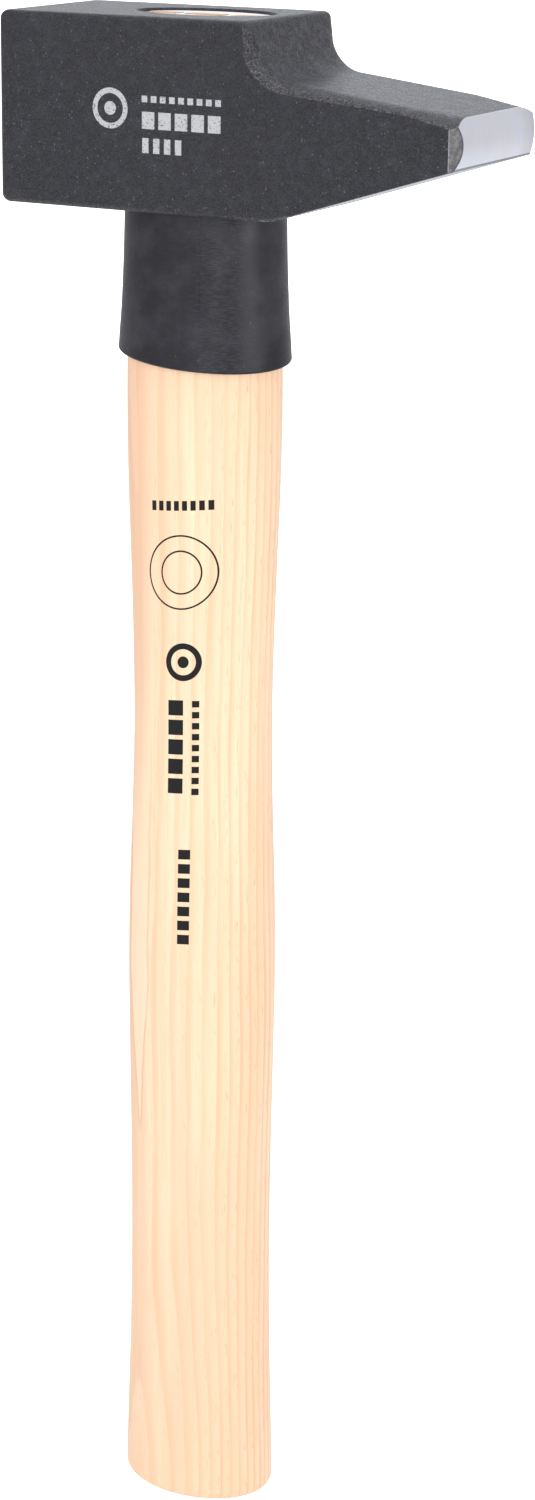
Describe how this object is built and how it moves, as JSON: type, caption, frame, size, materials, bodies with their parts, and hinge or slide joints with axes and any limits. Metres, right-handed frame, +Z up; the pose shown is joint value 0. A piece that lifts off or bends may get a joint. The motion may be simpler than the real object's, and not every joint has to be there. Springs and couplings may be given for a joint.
{
  "type": "cross-peen hammer",
  "caption": "Mason's cross-peen hammer: square forged head with a flat tapered peen, oval wooden handle, guard sleeve under the head and a wedged eye.",
  "frame": {"origin": "centre of the flat butt of the handle, on the handle's axis", "axes": "+Z up the handle's axis to the head, +X towards the peen's tip, so the striking face looks along -X; +Y completes the right-handed frame"},
  "size_m": [0.1035, 0.0384, 0.33],
  "materials": {
    "head_coat": "matt black powder coat over forged steel, with bare ground steel on the peen's end and underside",
    "handle_wood": "clear-lacquered pale hickory",
    "sleeve_plastic": "semi-matt black moulded sleeve",
    "wedge_wood": "sawn hardwood, unfinished",
    "wedge_steel": "bright turned steel"
  },
  "bodies": {
    "root": {"head": "head_coat", "handle": "handle_wood", "guard_sleeve": "sleeve_plastic", "wood_wedge": "wedge_wood", "ring_wedge": "wedge_steel"}
  },
  "joints": []
}
